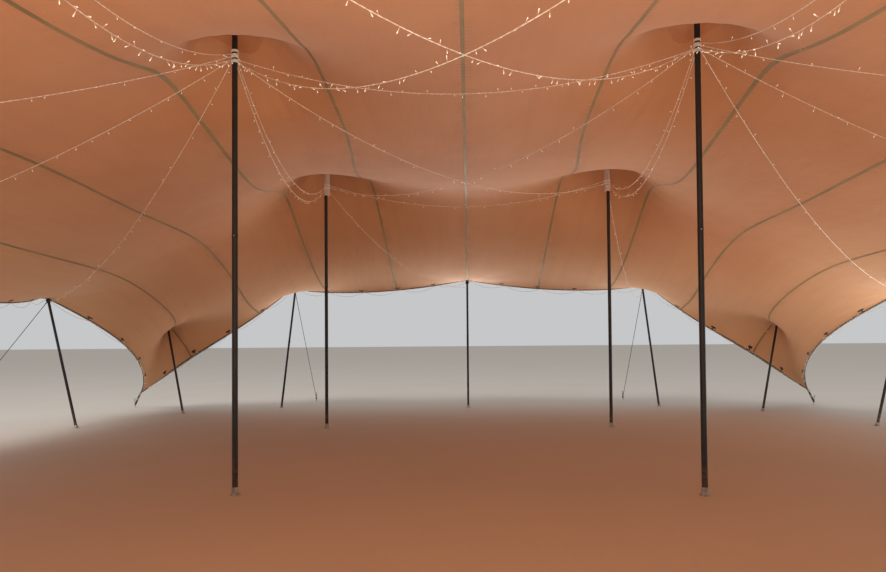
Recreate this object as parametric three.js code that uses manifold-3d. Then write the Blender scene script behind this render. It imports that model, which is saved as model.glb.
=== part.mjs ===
// A stretch tent, about seventeen metres by twenty. One elastic canopy, sewn from ten strips that run the
// length of the tent, is pushed up by six king poles, held open by twelve edge poles and four corner poles,
// and pulled down and outwards by twelve guys and four corner straps. Light strings hang between the kings.
import * as THREE from 'three';
import { mergeVertices } from 'three/addons/utils/BufferGeometryUtils.js';
import Module from 'manifold-3d';

const wasm = await Module();
wasm.setup();

// Driving dimensions in millimetres, from the middle of the footprint on the ground: X across the tent, Y along
// it, Z up. Places are those of the quarter where X and Y are positive, and the other quarters mirror it.
const KING_MIDDLE = [2570, 0, 5285];
const KING_OUTER = [2780, 5950, 5180];
const END_MIDDLE = [0, 10000, 3240];
const END_OUTER = [4400, 10000, 3060];
const SIDE_MIDDLE = [8650, 0, 2850];
const SIDE_OUTER = [8620, 6100, 2640];
const CORNER_PEAK = [7450, 9300, 2120];
const CORNER_TIP = [8600, 10250, 400];

// Where each leaning pole stands on the ground.
const END_MIDDLE_FOOT = [0, 10120];
const END_OUTER_FOOT = [4850, 10200];
const SIDE_MIDDLE_FOOT = [7950, 0];
const SIDE_OUTER_FOOT = [7880, 6050];
const CORNER_FOOT = [6900, 8900];

// The canopy as cut: ten strips of ten columns each, and a hundred and twenty rows, of which a quarter holds half
// the columns and half the rows. The columns that are whole multiples of ten are the seams.
const STRIP_COLUMNS = 10;
const COLUMNS = 5 * STRIP_COLUMNS;
const ROWS = 60;
const COLUMN_STEP = 172;
const ROW_STEP = 10000 / ROWS;
const KING_COLUMN = 15;
const KING_ROW = 35;
const END_COLUMN = 25;
const SIDE_ROW = 36;
const CORNER_COLUMN = 40;
const CORNER_ROW = 55;

// How far each pole's head spreads the cloth, and how far the cloth rounds off over it.
const KING_CAP = { radius: 375, drop: 50 };
const CORNER_CAP = { radius: 180, drop: 20 };
const EDGE_CAP = { radius: 180, drop: 15 };

// Pull along the cloth's threads and its hem rope, relative to the pull across the strips, and the weight that
// draws each knot of hem or of the slack cloth between the kings down, as the millimetres that it would sink
// under a pull of one.
const PULL = { across: 1, along: 0.77, endHem: 10.1, sideHem: 38.5, cornerEndHem: 6.9, cornerSideHem: 7 };
const WEIGHT = { endHem: 55, sideHem: 151, cornerEndHem: 80, cornerSideHem: 78, middle: 1.8 };
const SLACK_COLUMNS = 12;
const SLACK_ROWS = 31;

// Where the cloth pulls harder or less hard than elsewhere: it is taut along the line of kings and across the middle
// of the tent, slack across the rise to the outer kings, and falls off steeply just beside the middle kings.
const ZONES = [
  { columns: [0, 15], rows: [4, 12], across: 1.6 },
  { columns: [0, 15], rows: [12, 22], across: 0.9 },
  { columns: [0, 15], rows: [22, 32], across: 0.3 },
  { columns: [12, 18], rows: [2, 3], along: 0.06 },
  { columns: [11, 20], rows: [8, 35], along: 0.78 },
  { columns: [14, 17], rows: [8, 35], along: 3.1 },
  { columns: [13, 18], rows: [18, 35], along: 3.1 },
  { columns: [0, 50], rows: [38, 60], along: 0.64 },
];
const RELAXING_PASSES = 900;
const OVERSHOOT = 1.9;

const CLOTH = 4;
const SEAM_GAP = 0.4;
const SEAT_GAP = 0.4;
const HEM_INSET = 0.7;

const KING_RADIUS = 32.5;
const KING_SLEEVE = { radius: 57, length: 580, offset: 20 };
const EDGE_RADIUS = 27;
const EDGE_SIDES = 12;
const ROPE_RADIUS = 7;
const STRAP_RADIUS = 12;
const STAKE = { radius: 14, height: 230, lean: 0.35, tie: 70 };
const GUY_RUN = 0.78;
const LIGHT_RADIUS = 4;
const LIGHT_STEPS = 16;
const LIGHT_HEIGHT = { middle: 4870, crossing: 20, outer: 4750, rear: 4800, side: 2600 };
const LIGHT_SAG = { middle: 440, rear: 460, frontCross: 1150, rearCross: 700, along: 800, side: 300 };

const vector = (point) => new THREE.Vector3(...point);

const cloth = formCloth();
const tent = new THREE.Group();
tent.name = 'stretch_tent';

const canvas = finish(0xb9794f, 0.8, 0);
const blackTube = finish(0x1e2321, 0.45, 0.6);
const rope = finish(0x2a2c2e, 0.85, 0);
const strap = finish(0x22262b, 0.8, 0);
const lights = finish(0xf3e6cf, 0.5, 0);

// The cloth between its poles, as the resting shape of an elastic net: each knot settles where the pulls of its
// four neighbours balance its weight, while the knots over the poles and at the corner tips are held.
function formCloth() {
  const along = ROWS + 1;
  const knots = new Float64Array(3 * (COLUMNS + 1) * along);
  const held = new Uint8Array((COLUMNS + 1) * along);
  const at = (i, j) => i * along + j;
  const hold = (i, j, point) => {
    knots.set(point, 3 * at(i, j));
    held[at(i, j)] = 1;
  };
  const holdCap = ([x, y, z], column, row, { radius, drop }) => {
    for (let i = 0; i <= COLUMNS; i++) {
      for (let j = 0; j <= ROWS; j++) {
        const across = (i - column) * COLUMN_STEP;
        const ahead = (j - row) * ROW_STEP;
        const share = Math.hypot(across, ahead) / radius;
        if (share <= 1) hold(i, j, [x + across, y + ahead, z - drop * share * share]);
      }
    }
  };
  for (let i = 0; i <= COLUMNS; i++) {
    for (let j = 0; j <= ROWS; j++) knots.set([i * COLUMN_STEP, j * ROW_STEP, 3500], 3 * at(i, j));
  }
  holdCap(KING_MIDDLE, KING_COLUMN, 0, KING_CAP);
  holdCap(KING_OUTER, KING_COLUMN, KING_ROW, KING_CAP);
  holdCap(CORNER_PEAK, CORNER_COLUMN, CORNER_ROW, CORNER_CAP);
  holdCap(END_MIDDLE, 0, ROWS, EDGE_CAP);
  holdCap(END_OUTER, END_COLUMN, ROWS, EDGE_CAP);
  holdCap(SIDE_MIDDLE, COLUMNS, 0, EDGE_CAP);
  holdCap(SIDE_OUTER, COLUMNS, SIDE_ROW, EDGE_CAP);
  hold(COLUMNS, ROWS, CORNER_TIP);

  const within = ([first, last], k) => k >= first && k < last;
  const zoned = (way, i, j) => ZONES
    .filter(({ columns, rows, [way]: factor }) => factor && within(columns, i) && within(rows, j))
    .reduce((pull, { [way]: factor }) => pull * factor, PULL[way]);
  const pullAcross = (i, j) => {
    if (j < ROWS) return zoned('across', i, j);
    return PULL.across / 2 + (i >= END_COLUMN ? PULL.cornerEndHem : PULL.endHem);
  };
  const pullAlong = (i, j) => {
    if (i < COLUMNS) return zoned('along', i, j);
    return PULL.along / 2 + (j >= SIDE_ROW ? PULL.cornerSideHem : PULL.sideHem);
  };
  const weight = (i, j) => {
    if (j === ROWS) return i >= END_COLUMN ? WEIGHT.cornerEndHem : WEIGHT.endHem;
    if (i === COLUMNS) return j >= SIDE_ROW ? WEIGHT.cornerSideHem : WEIGHT.sideHem;
    return i < SLACK_COLUMNS && j < SLACK_ROWS ? WEIGHT.middle : 0;
  };
  const free = [];
  for (let i = 0; i <= COLUMNS; i++) {
    for (let j = 0; j <= ROWS; j++) {
      if (held[at(i, j)]) continue;
      const right = i < COLUMNS ? pullAcross(i, j) : 0;
      const left = i > 0 ? pullAcross(i - 1, j) : right;
      const ahead = j < ROWS ? pullAlong(i, j) : 0;
      const behind = j > 0 ? pullAlong(i, j - 1) : ahead;
      const pulls = [[1, 0, right], [-1, 0, left], [0, 1, ahead], [0, -1, behind]];
      free.push({ i, j, pulls: pulls.filter(([, , pull]) => pull > 0) });
    }
  }
  const mirrors = (k, a, b) => (k === 0 && a < 0) || (k === 1 && b < 0);
  for (let pass = 0; pass < RELAXING_PASSES; pass++) {
    for (const { i, j, pulls } of free) {
      const total = pulls.reduce((sum, [, , pull]) => sum + pull, 0);
      for (let k = 0; k < 3; k++) {
        let sum = k === 2 ? -weight(i, j) : 0;
        for (const [a, b, pull] of pulls) {
          const value = knots[3 * at(Math.abs(i + a), Math.abs(j + b)) + k];
          sum += mirrors(k, i + a, j + b) ? -pull * value : pull * value;
        }
        const knot = 3 * at(i, j) + k;
        knots[knot] += OVERSHOOT * (sum / total - knots[knot]);
      }
    }
  }
  return knots;
}

// A point of the middle of the cloth at any column and row, mirrored into all four quarters.
function clothPoint(i, j) {
  const column = Math.min(Math.floor(Math.abs(i)), COLUMNS - 1);
  const row = Math.min(Math.floor(Math.abs(j)), ROWS - 1);
  const knot = (a, b) => new THREE.Vector3().fromArray(cloth, 3 * ((column + a) * (ROWS + 1) + row + b));
  const across = Math.abs(i) - column;
  const ahead = Math.abs(j) - row;
  const near = knot(0, 0).lerp(knot(1, 0), across);
  const far = knot(0, 1).lerp(knot(1, 1), across);
  const point = near.lerp(far, ahead);
  return point.multiply(new THREE.Vector3(i < 0 ? -1 : 1, j < 0 ? -1 : 1, 1));
}

function clothNormal(i, j) {
  const clamp = THREE.MathUtils.clamp;
  const [right, left] = [clamp(i + 1, -COLUMNS, COLUMNS), clamp(i - 1, -COLUMNS, COLUMNS)];
  const [ahead, behind] = [clamp(j + 1, -ROWS, ROWS), clamp(j - 1, -ROWS, ROWS)];
  const across = clothPoint(right, j).sub(clothPoint(left, j));
  const along = clothPoint(i, ahead).sub(clothPoint(i, behind));
  return across.cross(along).normalize();
}

// The columns and rows where the faceted canopy has its corners, closest together over the poles.
const mirrored = (half) => [...half.slice(1).reverse().map((v) => -v), ...half];
const FACET_COLUMNS = mirrored([0, 2, 6, 10, 13, 15, 17, 20, 23, 25, 27, 30, 34, 38, 40, 42, 46, 49, 50]);
const FACET_ROWS = mirrored([0, 2, 3, 6, 11, 17, 23, 29, 33, 35, 36, 38, 42, 47, 52, 55, 57, 59, 60]);

// A closed slab between a lower and an upper surface over the same columns and rows. The end faces of two
// neighbouring slabs are split along the same diagonal, so that they lie flat against each other.
function slab(columns, rows, lower, upper) {
  const points = [];
  for (const surface of [lower, upper]) {
    for (const i of columns) for (const j of rows) points.push(...surface(i, j).toArray());
  }
  const [wide, long] = [columns.length, rows.length];
  const at = (layer, a, b) => (layer * wide + a) * long + b;
  const faces = [];
  for (let a = 0; a < wide - 1; a++) {
    for (let b = 0; b < long - 1; b++) {
      faces.push(at(1, a, b), at(1, a + 1, b), at(1, a + 1, b + 1));
      faces.push(at(1, a, b), at(1, a + 1, b + 1), at(1, a, b + 1));
      faces.push(at(0, a, b), at(0, a + 1, b + 1), at(0, a + 1, b));
      faces.push(at(0, a, b), at(0, a, b + 1), at(0, a + 1, b + 1));
    }
    const end = long - 1;
    faces.push(at(0, a, 0), at(0, a + 1, 0), at(1, a + 1, 0), at(0, a, 0), at(1, a + 1, 0), at(1, a, 0));
    faces.push(at(0, a + 1, end), at(0, a, end), at(1, a, end), at(0, a + 1, end), at(1, a, end), at(1, a + 1, end));
  }
  for (let b = 0; b < long - 1; b++) {
    const side = wide - 1;
    faces.push(at(0, 0, b + 1), at(0, 0, b), at(1, 0, b + 1), at(0, 0, b), at(1, 0, b), at(1, 0, b + 1));
    faces.push(at(0, side, b), at(0, side, b + 1), at(1, side, b + 1));
    faces.push(at(0, side, b), at(1, side, b + 1), at(1, side, b));
  }
  const geometry = new THREE.BufferGeometry();
  geometry.setAttribute('position', new THREE.Float32BufferAttribute(points, 3));
  geometry.setIndex(faces);
  return geometry;
}

function solidOf(geometry) {
  const bare = geometry.clone();
  bare.deleteAttribute('normal');
  bare.deleteAttribute('uv');
  const merged = mergeVertices(bare, 1e-3);
  const triVerts = new Uint32Array(merged.index.array);
  return new wasm.Manifold(
    new wasm.Mesh({ numProp: 3, vertProperties: merged.attributes.position.array, triVerts }),
  );
}

function geometryOf(solid) {
  const mesh = solid.getMesh();
  const geometry = new THREE.BufferGeometry();
  geometry.setAttribute('position', new THREE.BufferAttribute(mesh.vertProperties, 3));
  geometry.setIndex(new THREE.BufferAttribute(mesh.triVerts, 1));
  return geometry;
}

function finish(color, roughness, metalness) {
  return new THREE.MeshStandardMaterial({ color, roughness, metalness });
}

function addPiece(name, geometry, material) {
  const mesh = new THREE.Mesh(geometry, material);
  mesh.name = name;
  tent.add(mesh);
}

// A turned shape: its profile is pairs of radius and height, and its axis runs from one point towards another.
function turned(profile, sides, from, towards) {
  const outline = profile.map(([radius, height]) => new THREE.Vector2(radius, height));
  const axis = vector(towards).sub(vector(from)).normalize();
  return new THREE.LatheGeometry(outline, sides)
    .rotateX(Math.PI / 2)
    .applyQuaternion(new THREE.Quaternion().setFromUnitVectors(new THREE.Vector3(0, 0, 1), axis))
    .translate(...from);
}

// A round bar from one point to another.
function bar(from, to, radius, sides) {
  const length = vector(from).distanceTo(vector(to));
  return turned([[0, 0], [radius, 0], [radius, length], [0, length]], sides, from, to);
}

// Everything above the canopy's underside around one knot, less the gap at which a pole head seats.
function aboveCloth(column, row) {
  const around = (all, middle) => {
    const away = all.map((v) => Math.abs(v - middle));
    const nearest = away.indexOf(Math.min(...away));
    return all.slice(Math.max(0, nearest - 2), nearest + 3);
  };
  const under = (i, j) => clothPoint(i, j).addScaledVector(clothNormal(i, j), -CLOTH / 2);
  return solidOf(
    slab(
      around(FACET_COLUMNS, column),
      around(FACET_ROWS, row),
      (i, j) => under(i, j).add(new THREE.Vector3(0, 0, -SEAT_GAP)),
      (i, j) => under(i, j).add(new THREE.Vector3(0, 0, 1500)),
    ),
  );
}

const ground = solidOf(new THREE.BoxGeometry(40000, 40000, 1000).translate(0, 0, -500));

// Canopy: ten strips of the same cloth, each a thin shell between two seams.
for (let strip = 0; strip < 10; strip++) {
  const first = -COLUMNS + strip * STRIP_COLUMNS;
  const last = first + STRIP_COLUMNS;
  const columns = FACET_COLUMNS.filter((i) => i >= first && i <= last);
  const inset = SEAM_GAP / 2 / COLUMN_STEP;
  const middle = (i, j) => {
    if (i === first && i > -COLUMNS) return clothPoint(i + inset, j);
    if (i === last && i < COLUMNS) return clothPoint(i - inset, j);
    return clothPoint(i, j);
  };
  const lower = (i, j) => middle(i, j).addScaledVector(clothNormal(i, j), -CLOTH / 2);
  const upper = (i, j) => middle(i, j).addScaledVector(clothNormal(i, j), CLOTH / 2);
  addPiece(`canopy_strip_${strip + 1}`, slab(columns, FACET_ROWS, lower, upper), canvas);
}

// King poles: plumb steel tubes on a foot plate, with a mushroom head that spreads the cloth. The four outer
// kings are lengthened by a fat pale sleeve, which sits a little to one side of the tube.
function kingPole(name, [x, y, z], column, row, sleeved) {
  const headAt = z - 70;
  const profile = [
    [0, 0], [58, 0], [58, 10], [38, 14], [38, 85], [KING_RADIUS, 88], [KING_RADIUS, headAt],
    [105, headAt + 30], [105, z + 40], [0, z + 40],
  ];
  let pole = solidOf(turned(profile, 16, [x, y, 0], [x, y, 1]));
  if (sleeved) {
    const inward = x + (x < 0 ? KING_SLEEVE.offset : -KING_SLEEVE.offset);
    const low = z - KING_SLEEVE.length;
    pole = pole.add(solidOf(bar([inward, y, low], [inward, y, headAt + 20], KING_SLEEVE.radius, 16)));
  }
  addPiece(name, geometryOf(pole.subtract(aboveCloth(column, row))), blackTube);
}

// Edge and corner poles: lighter tubes that lean, each with a flat foot and a ball head under the hem.
function leaningPole(name, foot, column, row) {
  const top = clothPoint(column, row);
  const length = top.distanceTo(vector(foot));
  const beneath = vector(foot).lerp(top, -60 / length).toArray();
  const profile = [
    [0, 0], [EDGE_RADIUS, 0], [EDGE_RADIUS, length + 10],
    [45, length + 35], [45, length + 90], [0, length + 90],
  ];
  const plate = [[0, 0], [60, 0], [60, 8], [34, 14], [34, 60], [0, 60]];
  const pole = solidOf(turned(profile, EDGE_SIDES, beneath, top.toArray()))
    .add(solidOf(turned(plate, EDGE_SIDES, foot, [foot[0], foot[1], 1])))
    .subtract(ground)
    .subtract(aboveCloth(column, row));
  addPiece(name, geometryOf(pole), blackTube);
  return { foot: vector(foot), top };
}

// A steel stake driven at a slant, of which only what stands above the ground is made.
function stake(at, outward) {
  const lean = outward.clone().multiplyScalar(STAKE.lean * STAKE.height);
  const low = at.clone().addScaledVector(lean, -0.2).setZ(-0.2 * STAKE.height);
  const high = at.clone().add(lean).setZ(STAKE.height);
  return solidOf(bar(low.toArray(), high.toArray(), STAKE.radius, 8)).subtract(ground);
}

// A guy: a ring round the pole's neck, and a taut rope from it down to a stake.
function guy(name, { foot, top }, outward) {
  const axis = top.clone().sub(foot).normalize();
  const neck = top.clone().addScaledVector(axis, -75);
  const inside = EDGE_RADIUS + SEAT_GAP;
  const ring = new THREE.TorusGeometry(inside + ROPE_RADIUS, ROPE_RADIUS, 4, EDGE_SIDES)
    .applyQuaternion(new THREE.Quaternion().setFromUnitVectors(new THREE.Vector3(0, 0, 1), axis))
    .translate(...neck.toArray());
  const foothold = top.clone().addScaledVector(outward, GUY_RUN * top.z).setZ(0);
  const tie = foothold.clone().addScaledVector(outward, (STAKE.lean * STAKE.tie)).setZ(STAKE.tie);
  const aside = tie.clone().sub(neck).setComponent(2, 0).normalize();
  const start = neck.clone().addScaledVector(aside, inside + ROPE_RADIUS);
  const made = solidOf(ring)
    .add(solidOf(bar(start.toArray(), tie.toArray(), ROPE_RADIUS, 6)))
    .add(stake(foothold, outward));
  addPiece(name, geometryOf(made), rope);
}

// A corner strap: a clamp that grips the gathered corner of the cloth, webbing, and a stake.
function cornerStrap(name, tip, normal, outward) {
  const foothold = tip.clone().addScaledVector(outward, 0.9 * tip.z).setZ(0);
  const tie = foothold.clone().addScaledVector(outward, STAKE.lean * STAKE.tie).setZ(STAKE.tie);
  const axis = tie.clone().sub(tip).normalize();
  const reach = (Math.abs(normal.dot(axis)) * CLOTH) / 2 + SEAT_GAP;
  const face = tip.clone().addScaledVector(axis, reach);
  const clamp = bar(face.toArray(), face.clone().addScaledVector(axis, 70).toArray(), 30, 8);
  const made = solidOf(clamp)
    .add(solidOf(bar(face.clone().addScaledVector(axis, 40).toArray(), tie.toArray(), STRAP_RADIUS, 6)))
    .add(stake(foothold, outward));
  addPiece(name, geometryOf(made), strap);
}

const ends = [['front', -1], ['rear', 1]];
const flanks = [['left', -1], ['right', 1]];

for (const [flank, sx] of flanks) {
  kingPole(`king_pole_middle_${flank}`, [sx * KING_MIDDLE[0], 0, KING_MIDDLE[2]], sx * KING_COLUMN, 0, false);
  for (const [end, sy] of ends) {
    const place = [sx * KING_OUTER[0], sy * KING_OUTER[1], KING_OUTER[2]];
    kingPole(`king_pole_${end}_${flank}`, place, sx * KING_COLUMN, sy * KING_ROW, true);
  }
}

for (const [end, sy] of ends) {
  const out = new THREE.Vector3(0, sy, 0);
  const hemRow = sy * (ROWS - HEM_INSET);
  const middle = leaningPole(`end_pole_${end}_middle`, [0, sy * END_MIDDLE_FOOT[1], 0], 0, hemRow);
  guy(`guy_${end}_middle`, middle, out);
  for (const [flank, sx] of flanks) {
    const foot = [sx * END_OUTER_FOOT[0], sy * END_OUTER_FOOT[1], 0];
    const outer = leaningPole(`end_pole_${end}_${flank}`, foot, sx * END_COLUMN, hemRow);
    guy(`guy_${end}_${flank}`, outer, out);
    const corner = [sx * CORNER_FOOT[0], sy * CORNER_FOOT[1], 0];
    leaningPole(`corner_pole_${end}_${flank}`, corner, sx * CORNER_COLUMN, sy * CORNER_ROW);
    const outwards = new THREE.Vector3(sx, sy, 0).normalize();
    const tip = new THREE.Vector3(sx * CORNER_TIP[0], sy * CORNER_TIP[1], CORNER_TIP[2]);
    cornerStrap(`corner_strap_${end}_${flank}`, tip, clothNormal(sx * COLUMNS, sy * ROWS), outwards);
  }
}
for (const [flank, sx] of flanks) {
  const out = new THREE.Vector3(sx, 0, 0);
  const hemColumn = sx * (COLUMNS - HEM_INSET);
  const middle = leaningPole(`side_pole_${flank}_middle`, [sx * SIDE_MIDDLE_FOOT[0], 0, 0], hemColumn, 0);
  guy(`guy_${flank}_middle`, middle, out);
  for (const [end, sy] of ends) {
    const foot = [sx * SIDE_OUTER_FOOT[0], sy * SIDE_OUTER_FOOT[1], 0];
    const outer = leaningPole(`side_pole_${flank}_${end}`, foot, hemColumn, sy * SIDE_ROW);
    guy(`guy_${flank}_${end}`, outer, out);
  }
}

// Light strings: a twisted lead with small lamps, tied at both ends and hanging in a shallow curve. Each is tied
// to the side of a pole, so its ends stop at the tube's skin.
function lightString(name, from, to, sag) {
  const [start, end] = [vector(from.at), vector(to.at)];
  const direction = end.clone().sub(start).setZ(0).normalize();
  const steep = (drop) => LIGHT_RADIUS * Math.sin(Math.atan(drop));
  const span = start.distanceTo(end);
  const fall = (start.z - end.z) / span;
  start.addScaledVector(direction, from.radius + SEAT_GAP + steep(Math.abs(4 * sag / span + fall)));
  end.addScaledVector(direction, -(to.radius + SEAT_GAP + steep(Math.abs(4 * sag / span - fall))));
  const route = [];
  for (let k = 0; k <= LIGHT_STEPS; k++) {
    const share = k / LIGHT_STEPS;
    const point = start.clone().lerp(end, share);
    point.z -= 4 * sag * share * (1 - share);
    route.push(point);
  }
  const section = new THREE.Shape();
  section.absarc(0, 0, LIGHT_RADIUS, 0, 2 * Math.PI);
  const tube = new THREE.ExtrudeGeometry(section, {
    steps: LIGHT_STEPS,
    curveSegments: 4,
    bevelEnabled: false,
    extrudePath: new THREE.CatmullRomCurve3(route),
  });
  addPiece(name, tube, lights);
}

// Where a string is tied: to the tube of a middle king, to the sleeve of an outer king, or to a side pole's neck.
const onMiddle = (sx, z) => ({ at: [sx * KING_MIDDLE[0], 0, z], radius: KING_RADIUS });
const onOuter = (sx, sy, z) => ({
  at: [sx * (KING_OUTER[0] - KING_SLEEVE.offset), sy * KING_OUTER[1], z],
  radius: KING_SLEEVE.radius,
});
const onSide = (sx, z) => {
  const top = clothPoint(COLUMNS - HEM_INSET, 0);
  return { at: [sx * THREE.MathUtils.lerp(SIDE_MIDDLE_FOOT[0], top.x, z / top.z), 0, z], radius: EDGE_RADIUS };
};

const { middle, crossing, outer, rear, side } = LIGHT_HEIGHT;
lightString('light_string_middle', onMiddle(-1, middle), onMiddle(1, middle), LIGHT_SAG.middle);
lightString('light_string_rear', onOuter(-1, 1, rear), onOuter(1, 1, rear), LIGHT_SAG.rear);
for (const [flank, sx] of flanks) {
  lightString(`light_string_${flank}`, onMiddle(sx, middle), onSide(sx, side), LIGHT_SAG.side);
  for (const [end, sy] of ends) {
    const sag = sy < 0 ? LIGHT_SAG.frontCross : LIGHT_SAG.rearCross;
    lightString(`light_string_${end}_${flank}`, onMiddle(sx, middle), onOuter(sx, sy, outer), LIGHT_SAG.along);
    const start = onMiddle(sx, middle + sx * crossing);
    lightString(`light_string_cross_${end}_${flank}`, start, onOuter(-sx, sy, outer), sag);
  }
}

export default tent;
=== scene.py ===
import bmesh
import bpy
import numpy as np
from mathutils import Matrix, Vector


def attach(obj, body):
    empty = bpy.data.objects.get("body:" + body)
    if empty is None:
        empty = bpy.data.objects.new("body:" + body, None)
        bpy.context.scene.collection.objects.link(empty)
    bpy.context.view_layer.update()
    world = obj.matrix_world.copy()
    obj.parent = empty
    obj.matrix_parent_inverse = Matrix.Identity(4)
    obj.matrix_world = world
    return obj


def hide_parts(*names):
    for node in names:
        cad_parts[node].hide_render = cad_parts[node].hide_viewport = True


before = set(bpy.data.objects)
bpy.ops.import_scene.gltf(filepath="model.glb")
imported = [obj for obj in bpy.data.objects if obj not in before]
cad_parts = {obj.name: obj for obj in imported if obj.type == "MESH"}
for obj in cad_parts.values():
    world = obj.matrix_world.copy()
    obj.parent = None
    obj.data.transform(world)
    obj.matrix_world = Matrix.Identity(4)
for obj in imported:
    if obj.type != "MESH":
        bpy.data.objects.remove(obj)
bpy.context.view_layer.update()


# Camera
# A wide lens at eye height, inside the tent near its front end. It looks along the tent, a little to the left
# and a little up, with the lens raised so that the canopy fills the upper half of the picture.
camera_data = bpy.data.cameras.new("camera")
camera_data.lens = 28.04
camera_data.sensor_width = 36
camera_data.shift_y = 0.044
camera = bpy.data.objects.new("camera", camera_data)
camera.location = (0.04, -7.6, 1.68)
camera.rotation_euler = np.radians((91.4, 0.45, 2.18))
bpy.context.scene.collection.objects.link(camera)
bpy.context.scene.camera = camera


# Light strings
# Pale plastic-covered wire, two strands twisted together, with small clear lamps on short stems. They are
# tied round the kings and the edge poles and hang between them in shallow curves.
WIRE = 0.004
SEAT_GAP = 0.0004
STRING_POINTS = 65
STRAND_PITCH = 0.13
STRAND_STEPS = 6
# A strand's radius, as a share of the whole lead's or rope's, and how much thicker it is made so that strands
# press into one another.
STRAND_SHARE = {2: 0.5, 3: 0.464}
STRAND_SWELL = 1.08
# The radius of an end's disc as it is laid flat, and the angle from which an edge stays sharp.
DISC_LAID = 0.02
SHARP_EDGE = np.radians(28)
UP = np.array([0, 0, 1])
FLANKS = (("left", -1), ("right", 1))
ENDS = (("front", -1), ("rear", 1))
KING_MIDDLE = np.array([2.57, 0, 5.285])
KING_OUTER = np.array([2.78, 5.95, 5.18])
KING_RADIUS = 0.0325
SLEEVE_RADIUS = 0.057
SLEEVE_OFFSET = 0.02
EDGE_RADIUS = 0.027
SIDE_MIDDLE_FOOT = np.array([7.95, 0, 0])
SIDE_OUTER_FOOT = np.array([7.88, 6.05, 0])
END_MIDDLE_FOOT = np.array([0, 10.12, 0])
END_OUTER_FOOT = np.array([4.85, 10.2, 0])


def unit(vectors):
    """Each vector divided by its own length."""
    return vectors / np.linalg.norm(vectors, axis=-1, keepdims=True)


def corners_of(values):
    """The values at the four corners of every cell of a grid, in turn round the cell."""
    return np.stack([values[:-1, :-1], values[:-1, 1:], values[1:, 1:], values[1:, :-1]], axis=2)


def grid(points, along=None, around=None, finish=0, closed=True):
    """A shape whose faces join neighbouring points of a grid. Each face corner is laid flat at its distance
    along the rows and around the columns. A closed one is a tube: its last column is joined to its first, and
    each end has a disc."""
    rows, columns = points.shape[:2]
    index = np.arange(rows * columns).reshape(rows, columns)
    if closed:
        index = np.concatenate([index, index[:, :1]], axis=1)
    along = np.linspace(0, 1, rows) if along is None else along
    around = np.linspace(0, 1, index.shape[1]) if around is None else around
    flat = np.stack(np.meshgrid(along, around, indexing="ij")[::-1], axis=-1)
    faces = [(corners_of(index).reshape(-1, 4), corners_of(flat).reshape(-1, 4, 2))]
    if closed:
        circle = np.linspace(0, 2 * np.pi, columns, endpoint=False)
        disc = DISC_LAID * np.stack([np.cos(circle), np.sin(circle)], axis=1)[None]
        faces += [(index[:1, :columns][:, ::-1], disc[:, ::-1]), (index[-1:, :columns], disc)]
    return points.reshape(-1, 3), faces, finish


def make_piece(name, shapes, *finishes):
    """One mesh of all the shapes, its faces turned outwards, in the tent's own place and riding on it."""
    points = np.concatenate([shape[0] for shape in shapes])
    starts = np.cumsum([0] + [len(shape[0]) for shape in shapes[:-1]])
    faces, flat, finish = [], [], []
    for start, (_, groups, number) in zip(starts, shapes):
        for index, laid in groups:
            faces += (index + start).tolist()
            flat.append(laid.reshape(-1, 2))
            finish.append(np.full(len(index), number))
    mesh = bpy.data.meshes.new(name)
    mesh.from_pydata(points, [], faces)
    laid_flat = mesh.uv_layers.new(name="laid_flat")
    laid_flat.data.foreach_set("uv", np.concatenate(flat).ravel())
    mesh.polygons.foreach_set("material_index", np.concatenate(finish).astype(np.int32))
    work = bmesh.new()
    work.from_mesh(mesh)
    bmesh.ops.remove_doubles(work, verts=work.verts, dist=1e-6)
    bmesh.ops.recalc_face_normals(work, faces=work.faces)
    work.to_mesh(mesh)
    work.free()
    mesh.polygons.foreach_set("use_smooth", np.ones(len(mesh.polygons), bool))
    mesh.set_sharp_from_angle(angle=SHARP_EDGE)
    for made in finishes:
        mesh.materials.append(made)
    piece = bpy.data.objects.new(name, mesh)
    bpy.context.scene.collection.objects.link(piece)
    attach(piece, "root")
    return piece


def frames_along(path, above):
    """At each point of a path, the direction beside it and the one nearest to above, both square to it."""
    ahead = unit(np.gradient(path, axis=0))
    aside = unit(np.cross(ahead, above))
    return aside, np.cross(aside, ahead)


def length_along(path):
    """The distance from a path's start to each of its points."""
    steps = np.linalg.norm(np.diff(path, axis=0), axis=1)
    return np.concatenate([[0], np.cumsum(steps)])


def tube(path, radius, sides, above=UP, finish=0):
    """Circles round each point of a path: centre + radius * (cos(angle) * aside + sin(angle) * up)."""
    aside, up = frames_along(path, above)
    angle = np.linspace(0, 2 * np.pi, sides, endpoint=False)[None, :, None]
    points = path[:, None] + radius * (np.cos(angle) * aside[:, None] + np.sin(angle) * up[:, None])
    around = np.linspace(0, 2 * np.pi * radius, sides + 1)
    return grid(points, length_along(path), around, finish)


def resampled(path, step):
    """The same path with its points an even distance apart, close to the step."""
    far = length_along(path)
    at = np.linspace(0, far[-1], max(3, round(far[-1] / step)) + 1)
    return np.stack([np.interp(at, far, path[:, k]) for k in range(3)], axis=1)


def twisted(path, radius, strands, pitch, sides):
    """Strands wound round a path: each strand's middle turns round the path once in every pitch."""
    path = resampled(path, pitch / STRAND_STEPS)
    aside, up = frames_along(path, UP)
    thick = radius * STRAND_SHARE[strands]
    turn = 2 * np.pi * length_along(path)[:, None] / pitch
    shapes = []
    for strand in range(strands):
        angle = turn + 2 * np.pi * strand / strands
        wound = path + (radius - thick) * (np.cos(angle) * aside + np.sin(angle) * up)
        shapes.append(tube(wound, thick * STRAND_SWELL, sides))
    return shapes


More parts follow.
